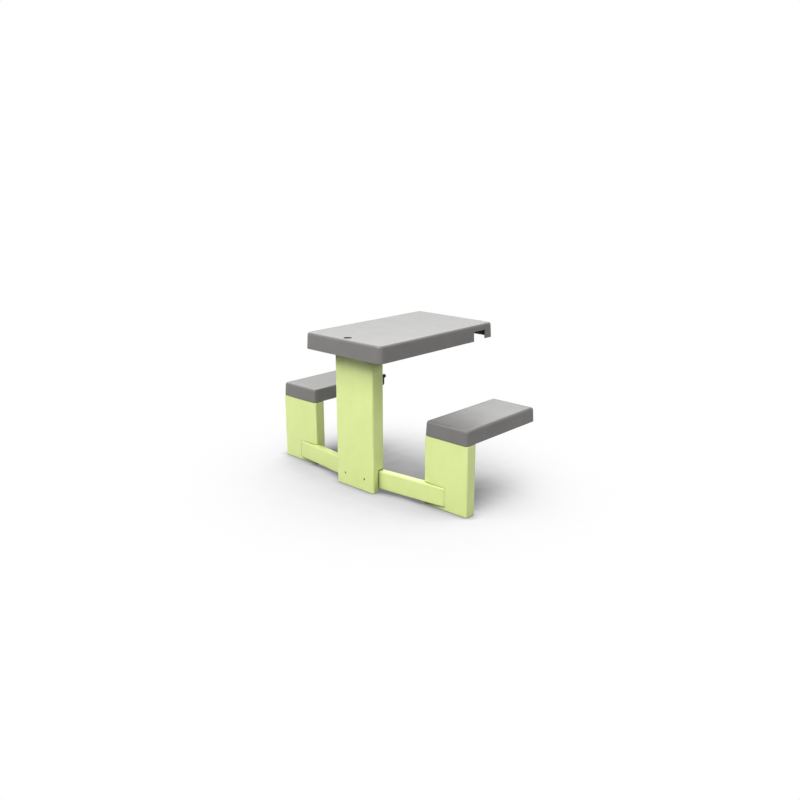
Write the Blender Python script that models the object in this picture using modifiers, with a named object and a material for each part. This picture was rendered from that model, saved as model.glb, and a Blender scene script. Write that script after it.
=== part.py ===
"""Children's picnic table with two seats, which hooks over a low wall at its far end.

Metres, +Z up. X runs along the crossbars and Y along the table, away from the post.
The origin is on the floor, under the middle of the table top.
Each moulded piece is an outer block less a core, and what is cut out of the core
stays behind as a rib, a boss or a socket, as it does in a mould.
"""

import math

import bmesh
import bpy
from mathutils import Matrix, Vector

# Clearances
FIT = 0.0003                # between pieces that touch
SINK = 0.001                # how far a rib or boss reaches into the wall that it grows from
REACH = 0.010               # how far a cutter runs past what it cuts

# Table top
TABLE_HEIGHT = 0.490
TABLE_WIDTH = 0.3286        # at the skirt's lower edge
TABLE_LENGTH = 0.5379       # at the skirt's lower edge
TABLE_SKIRT = 0.0523
TABLE_WALL = 0.0035
TABLE_CORNER = 0.016
TABLE_RIM = 0.008
TABLE_LONG_RIBS = 3
TABLE_CROSS_RIBS = 5
RIB_WALL = 0.0025
DRAFT = math.radians(2.5)   # lean of the skirts, so that the trays leave their moulds
SOCKET_WALL = 0.003
SOCKET_RISE = 0.004         # from the skirt's lower edge up to the post socket's
HOLE_DIAMETER = 0.026       # parasol pole
HOLE_FROM_POST = 0.020      # from the post's front to the hole's middle
HOLE_FROM_EDGE = 0.0296     # from the table's near lower edge to the hole's middle
HOLE_COLLAR_WALL = 0.003
HOLE_COLLAR_DEPTH = 0.020

# Slot that drops over a wall
SLOT_WIDTH = 0.058
SLOT_FROM_END = 0.0432      # from the slot's far side to the table's far lower edge
SLOT_ROOF = 0.0205          # from the table's surface down to the slot's roof
SLOT_PLATE_WALL = 0.003
FAR_SKIRT_RISE = 0.003      # how much shorter the skirt is beyond the slot

# Post
POST_WIDTH = 0.163
POST_DEPTH = 0.049
POST_WALL = 0.004
POST_CORNER = 0.006
POST_RIM = 0.0025

# Legs
LEG_CENTRE = 0.325          # from the middle plane to a leg's middle
LEG_WIDTH = 0.1631
LEG_DEPTH = 0.0391
LEG_SETBACK = 0.0553        # from the post's front to a leg's front
LEG_WALL = 0.004
LEG_CORNER = 0.005
LEG_RIM = 0.003             # at its top
LEG_FOOT_RIM = 0.0025       # at its foot
TENON_SHOULDER = 0.0065     # step from a leg's face in to its tenon

# Seats
SEAT_HEIGHT = 0.2653
SEAT_LENGTH = 0.3367        # at the skirt's lower edge
SEAT_INSET = 0.0008         # from a leg's side in to the seat's lower edge
SEAT_OVERHANG = 0.0011      # from a leg's front out to the seat's near lower edge
SEAT_SKIRT = 0.0454
SEAT_WALL = 0.0032
SEAT_CORNER = 0.009
SEAT_RIM = 0.0085
SEAT_RIB_DEPTH = 0.014
SEAT_CROSS_RIBS = 4
TENON_INSET = 0.010         # from a seat's lower edge in to the tenon's side

# Crossbars
BAR_DEPTH = 0.025
BAR_HEIGHT = 0.0594
BAR_LIFT = 0.0118           # clear of the floor
BAR_WALL = 0.0035
BAR_EDGE = 0.004
BAR_SETBACK = 0.0254        # from the post's front to a bar's front, at the post's side
BAR_SWEEP = math.radians(6.24)  # a bar's turn backwards, from the post to its leg
BAR_LAP = 0.088             # length of bar let into the leg
BAR_NOSE = 0.016            # radius of a bar's outer end, where it runs into the leg's face
BAR_GAP = 0.003             # round a bar where it enters the post
BAR_SPLIT = 0.003           # between the two bars' inner ends

# Screws
SCREW_SHANK = 0.0035
SCREW_HEAD = 0.006
SCREW_HEAD_HEIGHT = 0.0022
SCREW_CROWN = (0.6, 0.9)    # where a head's crown starts: share of its radius, then of its height
SCREW_SHOULDER = 0.45       # height of a head's straight side, as a share of its height
SCREW_BITE = 0.010          # length of thread in the piece that a screw pulls on
SCREW_SINK = 0.003          # depth of a counterbore
BAR_SCREW_SINK = 0.005      # depth of the counterbores in the post's front
BOSS_WALL = 0.0035
BAR_SCREW_INSET = 0.039     # from the post's side
BAR_SCREW_HEIGHT = 0.0403
LEG_SCREW_INSET = 0.030     # from a leg's inner side to its first screw
LEG_SCREW_PITCH = 0.032
SEAT_SCREW_PITCH = 0.080
SEAT_SCREW_RISE = 0.013     # above a leg's top
TABLE_SCREW_INSET = 0.030   # from the post's side
TABLE_SCREW_RISE = 0.016    # above the skirt's lower edge

# Bag hook
HOOK_INSET = 0.018          # from the post's side
HOOK_DROP = 0.136           # from the table's surface to the hook plate's middle
HOOK_PLATE_WIDTH = 0.020
HOOK_PLATE_HEIGHT = 0.062
HOOK_PLATE_DEPTH = 0.004
HOOK_ROD = 0.0035
HOOK_KNOB = 0.0058
HOOK_OUT = 0.0215           # from the post's back to the knob's middle
HOOK_RISE = 0.0120          # from the plate's middle up to the knob's middle
HOOK_FALL = 0.0125          # from the plate's middle down to the bend
HOOK_SCREW_PITCH = 0.048
HOOK_ROUTE = (              # the rod's way: share of HOOK_OUT, then share of the rise or the fall
    (0.48, -0.6),
    (0.72, -1.0),
    (0.80, -0.35),
    (0.80, 0.3),
    (1.0, 1.0),
)

# Roundness
CORNER_STEPS = 4
RIM_STEPS = 3
ROUND_STEPS = 24
SCREW_STEPS = 12

# Places that follow from the sizes
POST_FRONT = HOLE_FROM_POST + HOLE_FROM_EDGE - TABLE_LENGTH / 2
POST_BACK = POST_FRONT + POST_DEPTH
POST_SIDE = POST_WIDTH / 2
POST_TOP = TABLE_HEIGHT - TABLE_WALL
TABLE_BOTTOM = TABLE_HEIGHT - TABLE_SKIRT
SLOT_FAR = TABLE_LENGTH / 2 - SLOT_FROM_END
SLOT_NEAR = SLOT_FAR - SLOT_WIDTH
SLOT_TOP = TABLE_HEIGHT - SLOT_ROOF
LEG_FRONT = POST_FRONT + LEG_SETBACK
LEG_BACK = LEG_FRONT + LEG_DEPTH
LEG_INNER = LEG_CENTRE - LEG_WIDTH / 2
SEAT_BOTTOM = SEAT_HEIGHT - SEAT_SKIRT
SEAT_FRONT = LEG_FRONT - SEAT_OVERHANG
LEG_TOP = SEAT_BOTTOM - FIT
TENON_TOP = SEAT_HEIGHT - SEAT_WALL
TENON_SIDE = LEG_WIDTH / 2 - SEAT_INSET - TENON_INSET
BAR_END = LEG_INNER + BAR_LAP
BAR_TOP = BAR_LIFT + BAR_HEIGHT
BOSS_RADIUS = SCREW_SHANK / 2 + BOSS_WALL
HOOK_X = POST_SIDE - HOOK_INSET
HOOK_Z = TABLE_HEIGHT - HOOK_DROP
SIDES = {"left": -1, "right": 1}


def bar_front(x):
    """Y of a bar's front face at a distance x from the middle plane."""
    return POST_FRONT + BAR_SETBACK + math.tan(BAR_SWEEP) * (x - POST_SIDE)


# Scene
for old in list(bpy.data.objects):
    bpy.data.objects.remove(old, do_unlink=True)

parts = bpy.data.collections.new("kids_picnic_table")
cutters = bpy.data.collections.new("cutters")
for collection in (parts, cutters):
    bpy.context.scene.collection.children.link(collection)

table_frame = bpy.data.objects.new("table_frame", None)
parts.objects.link(table_frame)


def material(name, colour, roughness, metallic=0.0):
    """A plain finish."""
    surface = bpy.data.materials.new(name)
    surface.use_nodes = True
    shader = surface.node_tree.nodes["Principled BSDF"]
    shader.inputs["Base Color"].default_value = (*colour, 1.0)
    shader.inputs["Roughness"].default_value = roughness
    shader.inputs["Metallic"].default_value = metallic
    return surface


GREY_PLASTIC = material("grey_plastic", (0.36, 0.355, 0.345), 0.5)
LIME_PLASTIC = material("lime_plastic", (0.62, 0.74, 0.26), 0.45)
BLACK_PLASTIC = material("black_plastic", (0.015, 0.015, 0.016), 0.4)
ZINC_STEEL = material("zinc_steel", (0.55, 0.56, 0.57), 0.35, 1.0)


# Shapes
def new_object(name, bm, location):
    """An object that holds the shape made in bm."""
    bmesh.ops.recalc_face_normals(bm, faces=bm.faces)
    mesh = bpy.data.meshes.new(name)
    bm.to_mesh(mesh)
    bm.free()
    obj = bpy.data.objects.new(name, mesh)
    obj.location = location
    return obj


def span(low, high):
    """Middle and size of the box between two opposite corners."""
    low, high = Vector(low), Vector(high)
    size = Vector([abs(b - a) for a, b in zip(low, high)])
    return (low + high) / 2, size


def block(name, low, high):
    """A plain box between two corners."""
    middle, size = span(low, high)
    bm = bmesh.new()
    bmesh.ops.create_cube(bm, size=1.0, matrix=Matrix.Diagonal((*size, 1.0)))
    return new_object(name, bm, middle)


def round_edges(bm, chosen, radius, steps):
    """Round the edges that chosen picks."""
    edges = [edge for edge in bm.edges if chosen(edge)]
    bmesh.ops.bevel(bm, geom=edges, offset=radius, segments=steps, profile=0.5, affect="EDGES",
                    clamp_overlap=True)


def at_height(edge, height):
    return all(abs(vert.co.z - height) < FIT / 10 for vert in edge.verts)


def moulded_block(name, low, high, corner, top_rim=0.0, bottom_rim=0.0, draft=0.0):
    """A box with rounded uprights and rims, whose walls lean in towards its top by the draft."""
    middle, size = span(low, high)
    half_height = size.z / 2
    lean = size.z * math.tan(draft)
    bm = bmesh.new()
    bmesh.ops.create_cube(bm, size=1.0, matrix=Matrix.Diagonal((*size, 1.0)))
    for vert in bm.verts:
        if vert.co.z > 0.0:
            vert.co.x -= math.copysign(lean, vert.co.x)
            vert.co.y -= math.copysign(lean, vert.co.y)
    round_edges(bm, lambda edge: edge.verts[0].co.z * edge.verts[1].co.z < 0.0, corner, CORNER_STEPS)
    if top_rim:
        round_edges(bm, lambda edge: at_height(edge, half_height), top_rim, RIM_STEPS)
    if bottom_rim:
        round_edges(bm, lambda edge: at_height(edge, -half_height), bottom_rim, RIM_STEPS)
    return new_object(name, bm, middle)


def cylinder(name, middle, radius, length, axis):
    """A closed round rod along an axis, X, Y or Z."""
    turn = {"X": Matrix.Rotation(math.pi / 2, 4, "Y"), "Y": Matrix.Rotation(math.pi / 2, 4, "X")}
    bm = bmesh.new()
    bmesh.ops.create_cone(bm, cap_ends=True, segments=ROUND_STEPS, radius1=radius, radius2=radius,
                          depth=length, matrix=turn.get(axis, Matrix.Identity(4)))
    return new_object(name, bm, middle)


def bar_block(name, side, inner, outer, grow, rise, rim=0.0):
    """One bar's run from inner to outer, grown across and up and down, with its nose and rims rounded."""
    low, high = BAR_LIFT - rise, BAR_TOP + rise
    front, nose = bar_front(inner) - grow, bar_front(outer) - grow
    depth = BAR_DEPTH + 2 * grow
    outline = ((inner, front), (outer, nose), (outer, nose + depth), (inner, front + depth))
    bm = bmesh.new()
    bottom = bm.faces.new([bm.verts.new((side * x, y, low)) for x, y in outline])
    raised = bmesh.ops.extrude_face_region(bm, geom=[bottom])["geom"]
    bmesh.ops.translate(bm, verts=[item for item in raised if isinstance(item, bmesh.types.BMVert)],
                        vec=(0.0, 0.0, high - low))

    def at_nose(edge):
        return all(abs(side * vert.co.x - outer) + abs(vert.co.y - nose) < FIT for vert in edge.verts)

    def at_rim(edge):
        inside = all(abs(side * vert.co.x - inner) < FIT for vert in edge.verts)
        return not inside and (at_height(edge, low) or at_height(edge, high))

    round_edges(bm, at_nose, BAR_NOSE + grow, CORNER_STEPS)
    if rim:
        round_edges(bm, at_rim, rim, RIM_STEPS)
    return new_object(name, bm, (0.0, 0.0, 0.0))


# Joining and cutting
def change(target, tool, operation):
    """Add or take away a hidden shape, which stays on as a modifier's operand."""
    cutters.objects.link(tool)
    tool.hide_render = True
    tool.display_type = "WIRE"
    modifier = target.modifiers.new(tool.name, "BOOLEAN")
    modifier.operation = operation
    modifier.object = tool


def cut(target, *tools):
    for tool in tools:
        change(target, tool, "DIFFERENCE")


def add(target, *tools):
    for tool in tools:
        change(target, tool, "UNION")


def finish(obj, surface):
    """Put a finished piece in the table."""
    parts.objects.link(obj)
    obj.parent = table_frame
    obj.data.materials.append(surface)
    return obj


def spread(count, low, high):
    """Evenly spaced places between two ends, without the ends."""
    return [low + (high - low) * (index + 1) / (count + 1) for index in range(count)]


def shank_hole(name, middle, length):
    """A clearance hole for a screw that runs along Y."""
    return cylinder(name, middle, SCREW_SHANK / 2 + FIT, length, "Y")


def head_hole(name, middle, length):
    """A counterbore for a screw head that faces along Y."""
    return cylinder(name, middle, SCREW_HEAD / 2 + 2 * FIT, length, "Y")


def boss(name, x, z, low, high):
    """The solid round a screw that runs along Y, from low to high."""
    return cylinder(name, (x, (low + high) / 2, z), BOSS_RADIUS, high - low, "Y")


def screw(name, seat, facing, length):
    """A pan head screw along Y: its head faces facing, and its shank is length long below the head."""
    head, shank, height = SCREW_HEAD / 2, SCREW_SHANK / 2, SCREW_HEAD_HEIGHT
    profile = [(0.0, height), (head * SCREW_CROWN[0], height * SCREW_CROWN[1]),
               (head, height * SCREW_SHOULDER), (head, 0.0),
               (shank, 0.0), (shank, shank - length), (0.0, -length)]
    bm = bmesh.new()
    verts = [bm.verts.new((radius, 0.0, level)) for radius, level in profile]
    for upper, lower in zip(verts, verts[1:]):
        bm.edges.new((upper, lower))
    mesh = bpy.data.meshes.new(name)
    bm.to_mesh(mesh)
    bm.free()
    obj = bpy.data.objects.new(name, mesh)
    turned = obj.modifiers.new("turned", "SCREW")
    turned.steps = turned.render_steps = SCREW_STEPS
    turned.use_merge_vertices = True
    turned.merge_threshold = FIT / 10
    obj.location = (seat[0], seat[1] + facing * FIT, seat[2])
    obj.rotation_euler = (-facing * math.pi / 2, 0.0, 0.0)
    return finish(obj, ZINC_STEEL)


# Table top: a tray with a post socket, a parasol hole, ribs and a slot for a wall
def make_table_top():
    half_width, half_length = TABLE_WIDTH / 2, TABLE_LENGTH / 2
    deck = TABLE_HEIGHT - TABLE_WALL
    lean = (TABLE_SKIRT - TABLE_WALL) * math.tan(DRAFT)
    top = moulded_block("table_top", (-half_width, -half_length, TABLE_BOTTOM),
                        (half_width, half_length, TABLE_HEIGHT),
                        TABLE_CORNER, top_rim=TABLE_RIM, draft=DRAFT)

    inset = TABLE_WALL - REACH * math.tan(DRAFT)
    core = moulded_block("table_core",
                         (inset - half_width, inset - half_length, TABLE_BOTTOM - REACH),
                         (half_width - inset, half_length - inset, deck),
                         TABLE_CORNER - TABLE_WALL, top_rim=TABLE_RIM - TABLE_WALL, draft=DRAFT)
    inner_width = half_width - TABLE_WALL - lean
    socket_edge = FIT + SOCKET_WALL
    socket_back = POST_BACK + socket_edge
    for index, x in enumerate(spread(TABLE_LONG_RIBS, -inner_width, inner_width)):
        cut(core, block(f"table_long_rib_{index}", (x - RIB_WALL / 2, -half_length, SLOT_TOP),
                        (x + RIB_WALL / 2, half_length, TABLE_HEIGHT)))
    for index, y in enumerate(spread(TABLE_CROSS_RIBS, socket_back, SLOT_NEAR)):
        cut(core, block(f"table_cross_rib_{index}", (-half_width, y - RIB_WALL / 2, SLOT_TOP),
                        (half_width, y + RIB_WALL / 2, TABLE_HEIGHT)))
    cut(core, block("slot_rib", (-half_width, SLOT_FAR - RIB_WALL / 2, SLOT_TOP),
                    (half_width, SLOT_FAR + RIB_WALL / 2, TABLE_HEIGHT)))
    cut(core, block("slot_plate", (-half_width, SLOT_NEAR - SLOT_PLATE_WALL, TABLE_BOTTOM - 2 * REACH),
                    (half_width, SLOT_NEAR + SINK, TABLE_HEIGHT)))
    socket_side, socket_front = POST_SIDE + socket_edge, POST_FRONT - socket_edge
    cut(core, moulded_block("post_socket", (-socket_side, socket_front, TABLE_BOTTOM + SOCKET_RISE),
                            (socket_side, socket_back, TABLE_HEIGHT), POST_CORNER + socket_edge))
    hole_y = POST_FRONT - HOLE_FROM_POST
    collar_low = deck - HOLE_COLLAR_DEPTH
    cut(core, cylinder("hole_collar", (0.0, hole_y, (collar_low + TABLE_HEIGHT) / 2),
                       HOLE_DIAMETER / 2 + HOLE_COLLAR_WALL, TABLE_HEIGHT - collar_low, "Z"))

    cut(top, core)
    cut(top, moulded_block("post_seat", (-POST_SIDE - FIT, POST_FRONT - FIT, TABLE_BOTTOM - REACH),
                           (POST_SIDE + FIT, POST_BACK + FIT, POST_TOP + FIT), POST_CORNER + FIT))
    cut(top, cylinder("parasol_hole", (0.0, hole_y, TABLE_HEIGHT), HOLE_DIAMETER / 2,
                      2 * TABLE_SKIRT, "Z"))
    cut(top, block("wall_slot", (-half_width - REACH, SLOT_NEAR, TABLE_BOTTOM - REACH),
                   (half_width + REACH, SLOT_FAR, SLOT_TOP)))
    cut(top, block("far_skirt_cut", (-half_width - REACH, SLOT_FAR - SINK, TABLE_BOTTOM - REACH),
                   (half_width + REACH, half_length + REACH, TABLE_BOTTOM + FAR_SKIRT_RISE)))
    for name, x, z in table_screws():
        cut(top, shank_hole(f"{name}_socket_hole", (x, socket_back, z), 4 * SOCKET_WALL))
    return finish(top, GREY_PLASTIC)


def table_screws():
    """Name and place of each screw through the table's post socket."""
    x, z = POST_SIDE - TABLE_SCREW_INSET, TABLE_BOTTOM + TABLE_SCREW_RISE
    return [(f"{name}_table_screw", side * x, z) for name, side in SIDES.items()]


# Post: a hollow panel, open at its top, cut away at its back for the bars
def make_post():
    post = moulded_block("post", (-POST_SIDE, POST_FRONT, 0.0), (POST_SIDE, POST_BACK, POST_TOP),
                         POST_CORNER, bottom_rim=POST_RIM)
    core = moulded_block("post_core", (-POST_SIDE + POST_WALL, POST_FRONT + POST_WALL, POST_WALL),
                         (POST_SIDE - POST_WALL, POST_BACK - POST_WALL, POST_TOP + REACH),
                         POST_CORNER - POST_WALL)
    for name, x, z in bar_screws():
        cut(core, boss(f"{name}_boss", x, z, POST_FRONT, bar_front(abs(x)) + SINK))
    for name, x, z in table_screws() + hook_screws():
        cut(core, boss(f"{name}_boss", x, z, POST_BACK - POST_WALL - SCREW_BITE, POST_BACK))
    cut(post, core)

    rebate = POST_FRONT + BAR_SETBACK - BAR_GAP
    cut(post, block("bar_rebate", (-POST_SIDE - REACH, rebate, -REACH),
                    (POST_SIDE + REACH, POST_BACK + REACH, BAR_TOP + BAR_GAP)))
    for name, side in SIDES.items():
        cut(post, bar_block(f"{name}_bar_room", side, -SINK, LEG_INNER, FIT, FIT))
    for name, x, z in bar_screws():
        seat = POST_FRONT + BAR_SCREW_SINK
        cut(post, shank_hole(f"{name}_hole", (x, POST_FRONT, z), 2 * (BAR_SETBACK + REACH)))
        cut(post, head_hole(f"{name}_counterbore", (x, seat - REACH, z), 2 * REACH))
    for name, x, z in table_screws() + hook_screws():
        cut(post, shank_hole(f"{name}_post_hole", (x, POST_BACK, z), 2 * (SCREW_BITE + FIT)))
    return finish(post, LIME_PLASTIC)


def bar_screws():
    """Name and place of each screw through the post's front into a bar."""
    x = POST_SIDE - BAR_SCREW_INSET
    return [(f"{name}_bar_screw", side * x, BAR_SCREW_HEIGHT) for name, side in SIDES.items()]


# Crossbars: hollow bars, open at their inner ends, with solid bosses where the screws bite
def make_crossbar(name, side):
    inner = BAR_SPLIT / 2
    bar = bar_block(f"{name}_crossbar", side, inner, BAR_END, 0.0, 0.0, rim=BAR_EDGE)
    core = bar_block(f"{name}_bar_core", side, inner - REACH, BAR_END - BAR_WALL,
                     -BAR_WALL, -BAR_WALL)
    screws = [place for place in bar_screws() + leg_screws() if place[0].startswith(name)]
    for screw_name, x, z in screws:
        front = bar_front(abs(x))
        cut(core, boss(f"{screw_name}_bar_boss", x, z, front - REACH, front + BAR_DEPTH + REACH))
    cut(bar, core)
    for screw_name, x, z in screws:
        front = bar_front(abs(x))
        face = front if screw_name.endswith("bar_screw") else front + BAR_DEPTH
        cut(bar, shank_hole(f"{screw_name}_pilot", (x, face, z), 2 * (SCREW_BITE + FIT)))
    return finish(bar, LIME_PLASTIC)


# Legs: hollow panels, open at their tenons, each with a housing for the end of a bar
def make_leg(name, side):
    centre = side * LEG_CENTRE
    half = LEG_WIDTH / 2
    leg = moulded_block(f"{name}_leg", (centre - half, LEG_FRONT, 0.0),
                        (centre + half, LEG_BACK, LEG_TOP),
                        LEG_CORNER, top_rim=LEG_RIM, bottom_rim=LEG_FOOT_RIM)
    front, back = LEG_FRONT + TENON_SHOULDER, LEG_BACK - TENON_SHOULDER
    add(leg, block(f"{name}_tenon", (centre - TENON_SIDE, front, LEG_TOP - LEG_WALL),
                   (centre + TENON_SIDE, back, TENON_TOP)))

    core = block(f"{name}_leg_core", (centre - half + LEG_WALL, LEG_FRONT + LEG_WALL, LEG_WALL),
                 (centre + half - LEG_WALL, LEG_BACK - LEG_WALL, LEG_TOP - LEG_WALL))
    housing_end = BAR_END + FIT + LEG_WALL
    cut(core, bar_block(f"{name}_housing", side, LEG_INNER - REACH, housing_end,
                        FIT + LEG_WALL, FIT + LEG_WALL))
    for screw_name, x, z in leg_screws():
        if screw_name.startswith(name):
            cut(core, boss(f"{screw_name}_leg_boss", x, z, bar_front(abs(x)), LEG_BACK))
    cut(leg, core)
    mouth = TENON_SIDE - LEG_WALL
    cut(leg, block(f"{name}_tenon_core", (centre - mouth, front + LEG_WALL, LEG_TOP - 2 * LEG_WALL),
                   (centre + mouth, back - LEG_WALL, TENON_TOP + REACH)))

    cut(leg, bar_block(f"{name}_bar_seat", side, LEG_INNER - REACH, BAR_END + FIT, FIT, FIT))
    for screw_name, x, z in leg_screws():
        if screw_name.startswith(name):
            reach = LEG_BACK - bar_front(abs(x)) - BAR_DEPTH + REACH
            cut(leg, shank_hole(f"{screw_name}_hole", (x, LEG_BACK, z), 2 * reach))
            cut(leg, head_hole(f"{screw_name}_counterbore",
                               (x, LEG_BACK - SCREW_SINK + REACH / 2, z), REACH))
    for screw_name, x, z in seat_screws():
        if screw_name.startswith(name):
            cut(leg, shank_hole(f"{screw_name}_tenon_hole", (x, back, z), 2 * (SCREW_BITE + FIT)))
    return finish(leg, LIME_PLASTIC)


def leg_screws():
    """Name and place of each screw through a leg's back into a bar."""
    places = []
    for name, side in SIDES.items():
        for index, end in enumerate(("inner", "outer")):
            x = side * (LEG_INNER + LEG_SCREW_INSET + index * LEG_SCREW_PITCH)
            places.append((f"{name}_{end}_leg_screw", x, BAR_LIFT + BAR_HEIGHT / 2))
    return places


# Seats: trays with a socket for the leg's tenon, and ribs
def make_seat(name, side):
    centre = side * LEG_CENTRE
    half_width = LEG_WIDTH / 2 - SEAT_INSET
    far = SEAT_FRONT + SEAT_LENGTH
    deck = SEAT_HEIGHT - SEAT_WALL
    seat = moulded_block(f"{name}_seat", (centre - half_width, SEAT_FRONT, SEAT_BOTTOM),
                         (centre + half_width, far, SEAT_HEIGHT),
                         SEAT_CORNER, top_rim=SEAT_RIM, draft=DRAFT)
    inset = SEAT_WALL - REACH * math.tan(DRAFT)
    inner = half_width - inset
    core = moulded_block(f"{name}_seat_core", (centre - inner, SEAT_FRONT + inset, SEAT_BOTTOM - REACH),
                         (centre + inner, far - inset, deck),
                         SEAT_CORNER - SEAT_WALL, top_rim=SEAT_RIM - SEAT_WALL, draft=DRAFT)
    front, back = LEG_FRONT + TENON_SHOULDER, LEG_BACK - TENON_SHOULDER
    wall = FIT + SOCKET_WALL
    rib_low = deck - SEAT_RIB_DEPTH
    cut(core, block(f"{name}_seat_long_rib", (centre - RIB_WALL / 2, SEAT_FRONT, rib_low),
                    (centre + RIB_WALL / 2, far, SEAT_HEIGHT)))
    for index, y in enumerate(spread(SEAT_CROSS_RIBS, back + wall, far)):
        cut(core, block(f"{name}_seat_cross_rib_{index}",
                        (centre - half_width, y - RIB_WALL / 2, rib_low),
                        (centre + half_width, y + RIB_WALL / 2, SEAT_HEIGHT)))
    socket = TENON_SIDE + wall
    cut(core, block(f"{name}_tenon_socket", (centre - socket, front - wall, SEAT_BOTTOM - 2 * REACH),
                    (centre + socket, back + wall, SEAT_HEIGHT)))
    cut(seat, core)
    cut(seat, block(f"{name}_tenon_seat", (centre - TENON_SIDE - FIT, front - FIT, SEAT_BOTTOM - REACH),
                    (centre + TENON_SIDE + FIT, back + FIT, TENON_TOP + FIT)))
    for screw_name, x, z in seat_screws():
        if screw_name.startswith(name):
            cut(seat, shank_hole(f"{screw_name}_socket_hole", (x, back + wall, z), 4 * SOCKET_WALL))
    return finish(seat, GREY_PLASTIC)


def seat_screws():
    """Name and place of each screw through a seat's socket into a leg's tenon."""
    places = []
    for name, side in SIDES.items():
        for end, step in (("inner", -1), ("outer", 1)):
            x = side * (LEG_CENTRE + step * SEAT_SCREW_PITCH / 2)
            places.append((f"{name}_{end}_seat_screw", x, LEG_TOP + SEAT_SCREW_RISE))
    return places


# Bag hook: a plate on the post's back with a bent rod that ends in a knob
def make_bag_hook():
    back = POST_BACK + FIT
    face = back + HOOK_PLATE_DEPTH
    half_width, half_height = HOOK_PLATE_WIDTH / 2, HOOK_PLATE_HEIGHT / 2
    hook = block("bag_hook", (HOOK_X - half_width, back, HOOK_Z - half_height),
                 (HOOK_X + half_width, face, HOOK_Z + half_height))
    route = [(HOOK_X, face - SINK, HOOK_Z)]
    for out, level in HOOK_ROUTE:
        height = level * (HOOK_RISE if level > 0.0 else HOOK_FALL)
        route.append((HOOK_X, POST_BACK + out * HOOK_OUT, HOOK_Z + height))
    add(hook, rod("hook_rod", route))
    add(hook, ball("hook_knob", route[-1]))
    for name, x, z in hook_screws():
        cut(hook, shank_hole(f"{name}_plate_hole", (x, face, z), 4 * HOOK_PLATE_DEPTH))
    return finish(hook, BLACK_PLASTIC)


def rod(name, route):
    """The hook's rod as a mesh, swept along a smooth curve through its route."""
    curve = bpy.data.curves.new(name, "CURVE")
    curve.dimensions = "3D"
    curve.bevel_depth = HOOK_ROD
    curve.bevel_resolution = 2
    curve.resolution_u = 4
    curve.use_fill_caps = True
    spline = curve.splines.new("BEZIER")
    spline.bezier_points.add(len(route) - 1)
    for point, place in zip(spline.bezier_points, route):
        point.co = place
        point.handle_left_type = point.handle_right_type = "AUTO"
    swept = bpy.data.objects.new(name, curve)
    cutters.objects.link(swept)
    mesh = bpy.data.meshes.new_from_object(swept.evaluated_get(bpy.context.evaluated_depsgraph_get()))
    bpy.data.objects.remove(swept)
    bm = bmesh.new()
    bm.from_mesh(mesh)
    bmesh.ops.remove_doubles(bm, verts=bm.verts, dist=FIT / 10)
    return new_object(name, bm, (0.0, 0.0, 0.0))


def ball(name, middle):
    """The hook's knob."""
    bm = bmesh.new()
    bmesh.ops.create_uvsphere(bm, u_segments=SCREW_STEPS, v_segments=SCREW_STEPS // 2 + 1,
                              radius=HOOK_KNOB)
    return new_object(name, bm, middle)


def hook_screws():
    """Name and place of each screw through the hook's plate into the post."""
    return [(f"{end}_hook_screw", HOOK_X, HOOK_Z + step * HOOK_SCREW_PITCH / 2)
            for end, step in (("lower", -1), ("upper", 1))]


def make_screws():
    """Every screw, each from the seat of its head to the end of its bite."""
    for name, x, z in bar_screws():
        seat = POST_FRONT + BAR_SCREW_SINK
        screw(name, (x, seat, z), -1, bar_front(abs(x)) + SCREW_BITE - seat)
    for name, x, z in leg_screws():
        seat = LEG_BACK - SCREW_SINK
        screw(name, (x, seat, z), 1, seat - bar_front(abs(x)) - BAR_DEPTH + SCREW_BITE)
    for name, x, z in seat_screws():
        screw(name, (x, LEG_BACK - TENON_SHOULDER + FIT + SOCKET_WALL, z), 1, SOCKET_WALL + SCREW_BITE)
    for name, x, z in table_screws():
        screw(name, (x, POST_BACK + FIT + SOCKET_WALL, z), 1, SOCKET_WALL + SCREW_BITE)
    for name, x, z in hook_screws():
        screw(name, (x, POST_BACK + FIT + HOOK_PLATE_DEPTH, z), 1, HOOK_PLATE_DEPTH + SCREW_BITE)


make_table_top()
make_post()
for side_name, side_sign in SIDES.items():
    make_crossbar(side_name, side_sign)
    make_leg(side_name, side_sign)
    make_seat(side_name, side_sign)
make_bag_hook()
make_screws()
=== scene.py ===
import math

import bmesh
import bpy
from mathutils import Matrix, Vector
from mathutils.bvhtree import BVHTree


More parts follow.
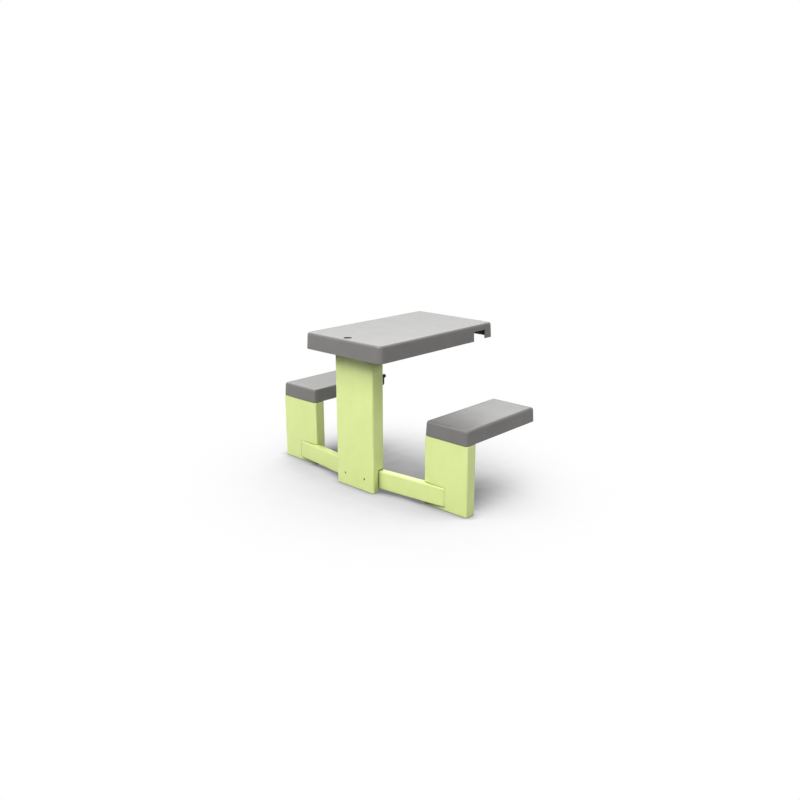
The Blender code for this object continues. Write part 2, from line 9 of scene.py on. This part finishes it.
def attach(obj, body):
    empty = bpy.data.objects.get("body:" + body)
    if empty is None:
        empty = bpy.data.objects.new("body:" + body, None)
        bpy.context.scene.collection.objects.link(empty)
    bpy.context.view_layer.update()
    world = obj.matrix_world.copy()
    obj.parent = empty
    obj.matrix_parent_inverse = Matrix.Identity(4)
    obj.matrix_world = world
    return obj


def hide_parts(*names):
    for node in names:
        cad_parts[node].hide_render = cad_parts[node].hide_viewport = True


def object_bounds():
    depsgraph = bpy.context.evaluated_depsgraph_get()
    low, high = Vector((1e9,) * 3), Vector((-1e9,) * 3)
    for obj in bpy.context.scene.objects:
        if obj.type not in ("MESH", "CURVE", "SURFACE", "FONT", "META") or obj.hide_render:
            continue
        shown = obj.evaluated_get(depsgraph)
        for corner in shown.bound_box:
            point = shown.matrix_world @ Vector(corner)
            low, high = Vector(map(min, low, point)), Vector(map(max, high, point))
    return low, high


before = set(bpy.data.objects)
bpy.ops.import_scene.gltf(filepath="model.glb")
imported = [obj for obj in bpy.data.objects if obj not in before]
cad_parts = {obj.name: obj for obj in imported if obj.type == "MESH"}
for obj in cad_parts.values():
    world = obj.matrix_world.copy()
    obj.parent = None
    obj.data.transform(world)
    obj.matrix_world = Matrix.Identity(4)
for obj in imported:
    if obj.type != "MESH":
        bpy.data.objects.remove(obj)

cad_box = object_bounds()


# Post: the upright panel at the table's near end, a hollow injection moulding in lime polypropylene.
# Both bars slip into a rebate low in its back, where a screw from the front holds each of them,
# and its top goes up into a socket under the table top.
POST_EDGE = 0.0007


def linear(colour):
    """An sRGB hex colour as linear red, green, blue and alpha."""
    channels = [int(colour[at:at + 2], 16) / 255 for at in (0, 2, 4)]
    return [value / 12.92 if value <= 0.04045 else ((value + 0.055) / 1.055) ** 2.4
            for value in channels] + [1.0]


def add_node(tree, kind, inputs=None, **settings):
    """Add a shader node, give it its settings, and set or link its inputs."""
    node = tree.nodes.new("ShaderNode" + kind)
    for name, value in settings.items():
        setattr(node, name, value)
    for name, value in (inputs or {}).items():
        if isinstance(value, bpy.types.NodeSocket):
            tree.links.new(value, node.inputs[name])
        else:
            node.inputs[name].default_value = value
    return node


def calculate(tree, operation, *values):
    """The result of one step of arithmetic."""
    return add_node(tree, "Math", dict(enumerate(values)), operation=operation).outputs["Value"]


def stretch(tree, value, source, target=(0.0, 1.0)):
    """A value moved from one range to another and held at both ends."""
    node = add_node(tree, "MapRange", {"Value": value, "From Min": source[0], "From Max": source[1],
                                       "To Min": target[0], "To Max": target[1]})
    return node.outputs["Result"]


def blend(tree, share, first, second):
    """A colour between two others."""
    node = add_node(tree, "MixRGB", {"Fac": share, "Color1": first, "Color2": second})
    return node.outputs["Color"]


def mottling(tree, size, detail):
    """Soft noise with marks of one size, fixed to the piece."""
    place = add_node(tree, "TexCoord").outputs["Object"]
    noise = add_node(tree, "TexNoise", {"Vector": place, "Scale": 1 / size, "Detail": detail})
    return noise.outputs["Fac"]


def moulded_plastic(name, colour, flow_colour, wear_and_highlight_colour, roughness, painted_hollow_shade, painted_seam_lightness):
    """A moulded plastic: a satin skin with the spark grain of its mould, faint flow marks,
    paler edges that are partly rubbed wear and partly a painted highlight, and painted shade in its colour
    in its seams and wherever another piece shelters it."""
    plastic_ior = 1.49
    grain_strength, grain_height = 0.06, 0.0001
    streak_range, polish_range = (0.35, 0.65), (0.3, 0.7)
    smoother, rougher = 0.01, 0.02
    edge_width, edge_samples, edge_turn = 0.0016, 4, (0.99, 0.80)
    skyward_pull, shelter_reach, shelter_range = 0.9, 0.110, (0.16, 0.68)
    seam_depth, seam_range = 0.009, (0.15, 0.72)
    shade_samples = 16
    hollow_dulling = 0.6

    material = bpy.data.materials.new(name)
    material.use_nodes = True
    tree = material.node_tree
    shader = tree.nodes["Principled BSDF"]
    shader.inputs["IOR"].default_value = plastic_ior
    flow = mottling(tree, size=0.070, detail=3.0)
    scuffs = mottling(tree, size=0.009, detail=4.0)
    grain = mottling(tree, size=0.0011, detail=2.0)
    body = blend(tree, stretch(tree, flow, streak_range), linear(colour), linear(flow_colour))

    # Paler edges: partly wear rubbed into them by scuffs, partly a painted highlight along every edge where
    # it turns.
    facing = add_node(tree, "NewGeometry").outputs["Normal"]
    rounded = add_node(tree, "Bevel", {"Radius": edge_width}, samples=edge_samples).outputs["Normal"]
    turn = add_node(tree, "VectorMath", {0: rounded, 1: facing}, operation="DOT_PRODUCT").outputs["Value"]
    rub_and_highlight = calculate(tree, "MULTIPLY", stretch(tree, turn, edge_turn), scuffs)
    wear_and_highlight = blend(tree, rub_and_highlight, body, linear(wear_and_highlight_colour))

    # Painted shade: the colour is darkened towards a dark shade colour where little sky reaches a point and
    # inside narrow seams, as shade would fall there, and the roughness rises with it.
    upwards = add_node(tree, "VectorMath", {0: facing, 1: (0.0, 0.0, skyward_pull)}, operation="ADD")
    skyward = add_node(tree, "VectorMath", {0: upwards.outputs["Vector"]}, operation="NORMALIZE")
    sky = add_node(tree, "AmbientOcclusion", {"Distance": shelter_reach,
                                              "Normal": skyward.outputs["Vector"]}, samples=shade_samples)
    gap = add_node(tree, "AmbientOcclusion", {"Distance": seam_depth}, samples=shade_samples)
    painted_openness = calculate(tree, "MULTIPLY", stretch(tree, sky.outputs["AO"], shelter_range),
                         stretch(tree, gap.outputs["AO"], seam_range, (painted_seam_lightness, 1.0)))
    painted_shade_colour = blend(tree, painted_openness, linear(painted_hollow_shade), wear_and_highlight)
    tree.links.new(painted_shade_colour, shader.inputs["Base Color"])

    polish = stretch(tree, flow, polish_range, (roughness - smoother, roughness + rougher))
    dull = calculate(tree, "MULTIPLY_ADD", painted_openness, -hollow_dulling, hollow_dulling)
    tree.links.new(calculate(tree, "ADD", polish, dull), shader.inputs["Roughness"])
    skin = add_node(tree, "Bump", {"Height": grain, "Strength": grain_strength, "Distance": grain_height})
    tree.links.new(skin.outputs["Normal"], shader.inputs["Normal"])
    return material


mouldings = []


def dress(node, edge, material):
    """Stand a copy of a CAD node in its place, with the small radius of a mould on its outer edges."""
    merge_distance, flat_angle = 0.00002, math.radians(1.0)
    sharp_angle, smooth_angle = math.radians(45), math.radians(35)
    room_in_radii, rounding_steps = 3.0, 2

    piece = bpy.data.objects.new(f"{node}_moulding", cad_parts[node].data.copy())
    bpy.context.scene.collection.objects.link(piece)
    bpy.ops.object.select_all(action="DESELECT")
    piece.select_set(True)
    bpy.context.view_layer.objects.active = piece
    bpy.ops.object.mode_set(mode="EDIT")
    bpy.ops.mesh.select_all(action="SELECT")
    bpy.ops.mesh.remove_doubles(threshold=merge_distance)
    bpy.ops.mesh.dissolve_limited(angle_limit=flat_angle)
    bpy.ops.object.mode_set(mode="OBJECT")

    # An edge is rounded only where all lines beside it leave room, because one short line
    # would hold the radius down on the whole piece.
    shape = bmesh.new()
    shape.from_mesh(piece.data)
    weights = shape.edges.layers.float.new("bevel_weight_edge")
    for line in shape.edges:
        beside = {other for corner in line.verts for other in corner.link_edges}
        roomy = all(other.calc_length() > room_in_radii * edge for other in beside)
        if roomy and line.is_manifold and line.calc_face_angle_signed() > sharp_angle:
            line[weights] = 1.0
    shape.to_mesh(piece.data)
    shape.free()
    rounding = piece.modifiers.new("rounding", "BEVEL")
    rounding.width = edge
    rounding.segments = rounding_steps
    rounding.limit_method = "WEIGHT"
    bpy.ops.object.modifier_apply(modifier="rounding")

    bpy.ops.object.shade_smooth_by_angle(angle=smooth_angle)
    flatness = piece.modifiers.new("flatness", "WEIGHTED_NORMAL")
    flatness.keep_sharp = True
    bpy.ops.object.modifier_apply(modifier="flatness")
    piece.data.materials.clear()
    piece.data.materials.append(material)
    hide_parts(node)
    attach(piece, "root")
    mouldings.append(piece)


lime_polypropylene = moulded_plastic("lime_moulded_polypropylene", colour="CFDD91", flow_colour="CBD98B",
                                     wear_and_highlight_colour="DAE5AA", roughness=0.30, painted_hollow_shade="39401C",
                                     painted_seam_lightness=0.25)
dress("post", POST_EDGE, lime_polypropylene)


# Crossbars: hollow moulded bars in the same lime polypropylene, low down, swept back from the post
# to the legs. Each one's inner end is screwed inside the post. Its outer end is let into the leg's face,
# where it stands a little proud at first and runs out flush.
BAR_EDGE = 0.0005
for bar in ("left_crossbar", "right_crossbar"):
    dress(bar, BAR_EDGE, lime_polypropylene)


# Legs: upright hollow panels in lime polypropylene, one under the near end of each seat.
# A bar's end is let into each one's face and screwed from behind, and a tenon on top goes up into the seat.
LEG_EDGE = 0.0006
for leg in ("left_leg", "right_leg"):
    dress(leg, LEG_EDGE, lime_polypropylene)


# Seats: shallow trays turned upside down, moulded in grey polypropylene with ribs under them.
# Each one is pushed down over its leg's tenon and held by two screws from behind, under its top.
SEAT_EDGE = 0.0008
grey_polypropylene = moulded_plastic("grey_moulded_polypropylene", colour="6A6967", flow_colour="666563",
                                     wear_and_highlight_colour="7E7D7A", roughness=0.30, painted_hollow_shade="0A0A0A",
                                     painted_seam_lightness=0.0)
for seat in ("left_seat", "right_seat"):
    dress(seat, SEAT_EDGE, grey_polypropylene)


# Table top: one deep tray turned upside down, moulded in grey polypropylene, with a hole for a parasol's
# pole and a slot across its far end that drops over a wall. The post stands in a socket under it,
# held by two screws.
TABLE_EDGE = 0.0008
dress("table_top", TABLE_EDGE, grey_polypropylene)


# Bag hook: a plate with a bent rod and a knob, moulded in black nylon.
# Two screws hold its plate on the post's back.
HOOK_EDGE = 0.0006
black_nylon = moulded_plastic("black_moulded_nylon", colour="1A1A1A", flow_colour="181818",
                              wear_and_highlight_colour="2C2C2C", roughness=0.36, painted_hollow_shade="050505", painted_seam_lightness=0.0)
dress("bag_hook", HOOK_EDGE, black_nylon)


# Screws: cold headed pan heads in zinc plated steel.
# They sit in counterbores or under the pieces that they hold.
SCREW_EDGE = 0.0002


def plated_steel(name, colour, dull_colour):
    """Zinc plated steel: a grey metal whose bright plating is mottled by handling and a little dust."""
    full_range, polish = (0.0, 1.0), (0.28, 0.48)
    material = bpy.data.materials.new(name)
    material.use_nodes = True
    tree = material.node_tree
    shader = tree.nodes["Principled BSDF"]
    shader.inputs["Metallic"].default_value = 1.0
    mottle = mottling(tree, size=0.002, detail=3.0)
    tree.links.new(blend(tree, mottle, linear(colour), linear(dull_colour)), shader.inputs["Base Color"])
    tree.links.new(stretch(tree, mottle, full_range, polish), shader.inputs["Roughness"])
    return material


zinc_plated_steel = plated_steel("zinc_plated_steel", colour="C6C8CA", dull_colour="AAACAF")
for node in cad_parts:
    if node.endswith("_screw"):
        dress(node, SCREW_EDGE, zinc_plated_steel)


# Studio: a white floor that keeps the table's soft shadow, a large lamp overhead, smaller ones in front
# and at the side, a panel behind, and the camera where the photographer stood.
WHITE = (1.0, 1.0, 1.0, 1.0)
PAPER_BOUNCE = (0.60, 0.60, 0.60, 1.0)
FLOOR_SIZE = 60.0
FLOOR_GAP, PAPER_GAP = 0.0004, 0.0012


def seen_directly(tree):
    """One for what the camera sees, directly, mirrored or through a clear piece, and none for other light."""
    ray = add_node(tree, "LightPath")
    glimpse = calculate(tree, "MAXIMUM", ray.outputs["Is Camera Ray"], ray.outputs["Is Glossy Ray"])
    return calculate(tree, "MAXIMUM", glimpse, ray.outputs["Is Transmission Ray"])


def white_paper(name):
    """White studio paper: plain white to the eye, and a pale bounce for the light that falls on it."""
    material = bpy.data.materials.new(name)
    material.use_nodes = True
    tree = material.node_tree
    tree.nodes.clear()
    glow = add_node(tree, "Emission", {"Color": WHITE, "Strength": 1.0})
    bounce = add_node(tree, "BsdfDiffuse", {"Color": PAPER_BOUNCE})
    look = add_node(tree, "MixShader", {0: seen_directly(tree), 1: bounce.outputs["BSDF"],
                                        2: glow.outputs["Emission"]})
    add_node(tree, "OutputMaterial", {"Surface": look.outputs["Shader"]})
    return material, glow


bpy.ops.object.select_all(action="DESELECT")
bpy.ops.mesh.primitive_plane_add(size=FLOOR_SIZE, location=(0.0, 0.0, -PAPER_GAP))
floor = bpy.context.object
floor.name = "studio_floor"
floor.data.materials.append(white_paper("white_studio_paper")[0])

# The patch of paper round the table carries its shadow, painted into the paper's glow. How much of the sky
# the table covers over each of its points is found with a fan of rays, and the painted dark line under the
# feet and bars comes from the shader.
SHADOW_CELL, SKY_RAYS = 0.028, 512
TALL_REACH, NEAR_REACH = 0.7, 0.25
NEAR_SHARE, SHADOW_DEPTH, SHADOW_FALL = 0.39, 3.9, 2.1
FOOT_GAP, FOOT_COVER = 0.005, 0.34
CONTACT_REACH, CONTACT_DEPTH, CONTACT_FALL = 0.030, 1.0, 1.7
CONTACT_SAMPLES = 32
DEEPEST_SHADE = 0.20
UP = Vector((0.0, 0.0, 1.0))

reach = [max(abs(low), abs(high)) + TALL_REACH for low, high in zip(*cad_box)]
cells = [round(2 * reach[side] / SHADOW_CELL) for side in (0, 1)]
bpy.ops.mesh.primitive_grid_add(x_subdivisions=cells[0], y_subdivisions=cells[1], size=2.0)
patch = bpy.context.object
patch.name = "shadow_paper"
patch.scale = (reach[0], reach[1], 1.0)
patch.location = (0.0, 0.0, -FLOOR_GAP)
bpy.ops.object.transform_apply(location=True, rotation=False, scale=True)

corners, faces = [], []
for moulding in mouldings:
    first = len(corners)
    corners += [vertex.co for vertex in moulding.data.vertices]
    faces += [[first + at for at in face.vertices] for face in moulding.data.polygons]
table_shape = BVHTree.FromPolygons(corners, faces)
golden_turn = math.pi * (3.0 - math.sqrt(5.0))
fan = []
for count in range(SKY_RAYS):
    lean = (count + 0.5) / SKY_RAYS
    fan.append(Vector((math.sqrt(lean) * math.cos(count * golden_turn),
                       math.sqrt(lean) * math.sin(count * golden_turn), math.sqrt(1.0 - lean))))
table_cover = patch.data.attributes.new("table_cover", "FLOAT", "POINT")
for vertex in patch.data.vertices:
    under_foot = table_shape.ray_cast(vertex.co, UP, FOOT_GAP)[0] is not None
    hits = [table_shape.ray_cast(vertex.co, ray, TALL_REACH)[3] for ray in fan]
    met = sum(distance is not None for distance in hits)
    met_near = sum(distance is not None and distance < NEAR_REACH for distance in hits)
    covered = (met - NEAR_SHARE * met_near) / SKY_RAYS
    table_cover.data[vertex.index].value = FOOT_COVER if under_foot else covered

shadow_paper, paper_glow = white_paper("white_studio_paper_in_shadow")
paper_tree = shadow_paper.node_tree
cover = add_node(paper_tree, "Attribute", attribute_name="table_cover")
falling = calculate(paper_tree, "POWER", cover.outputs["Fac"], SHADOW_FALL)
shade = calculate(paper_tree, "MULTIPLY_ADD", falling, -SHADOW_DEPTH, 1.0)
touch = add_node(paper_tree, "AmbientOcclusion", {"Distance": CONTACT_REACH}, samples=CONTACT_SAMPLES)
hidden = calculate(paper_tree, "SUBTRACT", 1.0, touch.outputs["AO"])
closing = calculate(paper_tree, "POWER", hidden, CONTACT_FALL)
contact = calculate(paper_tree, "MULTIPLY_ADD", closing, -CONTACT_DEPTH, 1.0)
shadow = calculate(paper_tree, "MULTIPLY", shade, contact)
lightness = calculate(paper_tree, "MAXIMUM", shadow, DEEPEST_SHADE)
paper_tree.links.new(lightness, paper_glow.inputs["Strength"])
patch.data.materials.append(shadow_paper)

# The lamps are soft boxes. Azimuth runs from the table's near end towards its right-hand seat.
TABLE_MIDDLE = Vector((0.0, 0.0, 0.25))


def studio_lamp(name, elevation, azimuth, distance, width, height, power):
    """A rectangular soft box that looks at the table's middle."""
    up, round_table = math.radians(elevation), math.radians(azimuth)
    towards = Vector((math.cos(up) * math.sin(round_table), -math.cos(up) * math.cos(round_table),
                      math.sin(up)))
    bpy.ops.object.light_add(type="AREA", location=TABLE_MIDDLE + distance * towards)
    lamp = bpy.context.object
    lamp.name = name
    lamp.rotation_euler = towards.to_track_quat("Z", "Y").to_euler()
    lamp.data.shape = "RECTANGLE"
    lamp.data.size = width
    lamp.data.size_y = height
    lamp.data.energy = power
    lamp.visible_camera = False


studio_lamp("overhead_lamp", elevation=89, azimuth=0, distance=2.6, width=6.0, height=6.0, power=160)
studio_lamp("front_lamp", elevation=50, azimuth=0, distance=3.2, width=2.0, height=2.0, power=91)
studio_lamp("side_lamp", elevation=20, azimuth=70, distance=3.2, width=2.0, height=2.0, power=14)
studio_lamp("back_panel", elevation=30, azimuth=237, distance=4.0, width=4.5, height=1.2, power=50)

world = bpy.data.worlds.new("white_studio")
bpy.context.scene.world = world
world.use_nodes = True
world_tree = world.node_tree
world_tree.nodes.clear()
dark = add_node(world_tree, "Background", {"Strength": 0.0})
bright = add_node(world_tree, "Background", {"Color": WHITE, "Strength": 1.0})
backdrop = add_node(world_tree, "MixShader", {0: seen_directly(world_tree), 1: dark.outputs["Background"],
                                              2: bright.outputs["Background"]})
add_node(world_tree, "OutputWorld", {"Surface": backdrop.outputs["Shader"]})

CAMERA_PLACE = (1.73638, -1.87522, 0.98243)
CAMERA_TILT, CAMERA_TURN = math.radians(73.89928), math.radians(42.93966)
CAMERA_LENS, CAMERA_SENSOR = 36.336, 36.0
bpy.ops.object.camera_add(location=CAMERA_PLACE, rotation=(CAMERA_TILT, 0.0, CAMERA_TURN))
camera = bpy.context.object
camera.name = "camera"
camera.data.sensor_width = CAMERA_SENSOR
camera.data.lens = CAMERA_LENS
bpy.context.scene.camera = camera
bpy.context.scene.view_settings.view_transform = "Standard"
